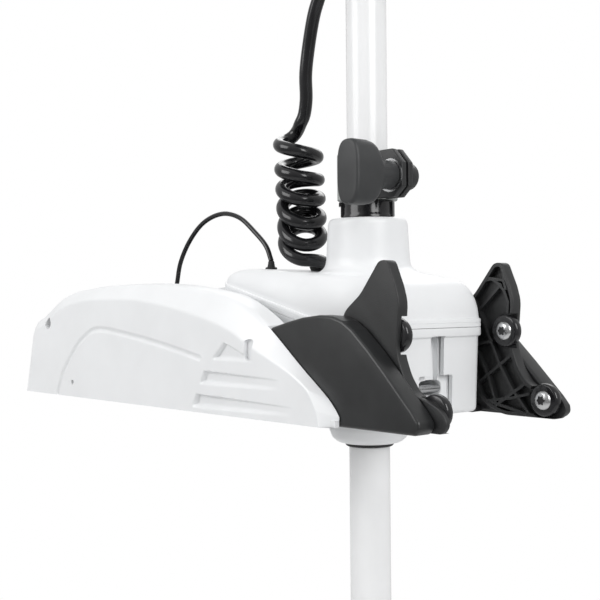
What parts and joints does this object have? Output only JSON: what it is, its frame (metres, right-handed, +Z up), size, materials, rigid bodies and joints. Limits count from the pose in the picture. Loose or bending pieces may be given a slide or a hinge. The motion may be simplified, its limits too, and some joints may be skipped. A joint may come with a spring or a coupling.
{
  "type": "trolling motor",
  "caption": "Bow-mount electric trolling motor: white deck base with black ramps, tilting steering housing, sliding shaft with depth collar, control head above and motor with propeller below.",
  "frame": {"origin": "middle of the deck face, on the underside of the base plate", "axes": "+X forward over the bow, +Y to the left side of the boat, +Z up along the deployed shaft"},
  "size_m": [0.542, 0.17, 1.3545],
  "materials": {
    "white_moulding": "white satin moulded plastic",
    "white_shaft": "glossy white composite tube",
    "white_paint": "glossy white paint",
    "black_moulding": "finely textured black plastic",
    "gloss_black": "smooth glossy black plastic",
    "cord_jacket": "glossy black cord jacket",
    "black_rubber": "matt black rubber",
    "clamp_grey": "grey moulded plastic",
    "aluminium": "extruded aluminium",
    "black_coat": "black coated aluminium plate",
    "steel": "stainless steel",
    "bronze": "bearing bronze",
    "copper": "copper windings and bars",
    "ferrite": "grey ferrite",
    "nylon": "natural nylon",
    "circuit_board": "green circuit board",
    "dark_lens": "dark clear lens"
  },
  "bodies": {
    "base": {"base_plate": "black_coat", "rear_end_cap": "black_moulding", "side_cover_right": "white_moulding", "side_cover_left": "white_moulding", "ramp_cover_right": "black_moulding", "ramp_cover_left": "black_moulding", "ramp_right": "black_moulding", "ramp_left": "black_moulding", "hinge_bracket_right": "aluminium", "hinge_bracket_left": "aluminium", "hinge_pin_right": "steel", "hinge_pin_left": "steel", "upper_roller_screw_right": "steel", "upper_roller_screw_left": "steel", "lower_roller_screw_right": "steel", "lower_roller_screw_left": "steel", "thin_cable": "cord_jacket", "base_cable_gland": "black_rubber"},
    "steering_housing": {"housing_cover": "white_moulding", "housing_gasket": "black_rubber", "housing_case": "white_moulding", "rope_guide": "white_moulding", "rope_bar": "steel", "bottom_bearing_cap": "white_moulding", "shaft_seal_ring": "black_rubber", "upper_bush": "bronze", "steering_motor": "steel", "coil_cord_gland": "black_rubber", "cable_gland": "black_rubber"},
    "steering_tube": {"output_tube": "steel", "worm_wheel": "bronze", "depth_collar": "gloss_black", "collar_clamp": "clamp_grey", "collar_nut": "black_moulding", "coil_cord_lower": "cord_jacket"},
    "worm": {"worm_shaft": "steel"},
    "collar_knob": {"collar_knob": "black_moulding"},
    "shaft": {"shaft_tube": "white_shaft", "control_head_base": "black_moulding", "control_head_cover": "white_moulding", "head_board": "circuit_board", "status_lens": "dark_lens", "motor_can": "white_paint", "nose_cone": "black_moulding", "tail_housing": "black_moulding", "magnet_ring": "ferrite", "brush_plate": "nylon", "skeg": "black_moulding", "coil_cord_upper": "cord_jacket", "coil_cord_tail": "cord_jacket"},
    "head_button": {"head_button": "black_moulding"},
    "propeller": {"armature": "copper", "commutator": "copper", "motor_shaft": "steel", "propeller": "black_moulding", "prop_nut": "steel"},
    "upper_roller_right": {"upper_roller_right": "gloss_black"},
    "upper_roller_left": {"upper_roller_left": "gloss_black"},
    "lower_roller_right": {"lower_roller_right": "gloss_black"},
    "lower_roller_left": {"lower_roller_left": "gloss_black"}
  },
  "joints": [
    {"name": "stow_tilt", "type": "hinge", "parent": "base", "child": "steering_housing", "pos_m": [0.17, 0, 0.036], "axis": [0, -1, 0], "range_deg": [0, 78], "deforming": ["thin_cable"]},
    {"name": "steer", "type": "hinge", "parent": "steering_housing", "child": "steering_tube", "pos_m": [0.24, 0, 0.062], "axis": [0, 0, 1], "range_deg": [-270, 270], "deforming": ["coil_cord_lower"]},
    {"name": "worm_spin", "type": "hinge", "parent": "steering_housing", "child": "worm", "pos_m": [0.24, 0.031, 0.062], "axis": [1, 0, 0], "range_deg": [-6480, 6480]},
    {"name": "depth_slide", "type": "slide", "parent": "steering_tube", "child": "shaft", "axis": [0, 0, 1], "range_m": [-0.05, 0.667], "deforming": ["coil_cord_upper", "coil_cord_tail"]},
    {"name": "knob_turn", "type": "hinge", "parent": "steering_tube", "child": "collar_knob", "pos_m": [0.272, 0, 0.1635], "axis": [0, 1, 0], "range_deg": [-360, 90]},
    {"name": "propeller_spin", "type": "hinge", "parent": "shaft", "child": "propeller", "pos_m": [0.24, 0, -0.828], "axis": [1, 0, 0], "continuous": true},
    {"name": "button_press", "type": "slide", "parent": "shaft", "child": "head_button", "axis": [0, 0, -1], "range_m": [0, 0.0025], "stiffness_N_per_m": 300, "springref_m": -0.001},
    {"name": "upper_roller_spin_right", "type": "hinge", "parent": "base", "child": "upper_roller_right", "pos_m": [0.3193, -0.054, 0.0575], "axis": [0, 1, 0], "continuous": true},
    {"name": "upper_roller_spin_left", "type": "hinge", "parent": "base", "child": "upper_roller_left", "pos_m": [0.3193, 0.054, 0.0575], "axis": [0, 1, 0], "continuous": true},
    {"name": "lower_roller_spin_right", "type": "hinge", "parent": "base", "child": "lower_roller_right", "pos_m": [0.351, -0.054, 0.0123], "axis": [0, 1, 0], "continuous": true},
    {"name": "lower_roller_spin_left", "type": "hinge", "parent": "base", "child": "lower_roller_left", "pos_m": [0.351, 0.054, 0.0123], "axis": [0, 1, 0], "continuous": true}
  ],
  "couplings": [
    {"joint": "worm_spin", "follows": "steer", "ratio": 24}
  ]
}
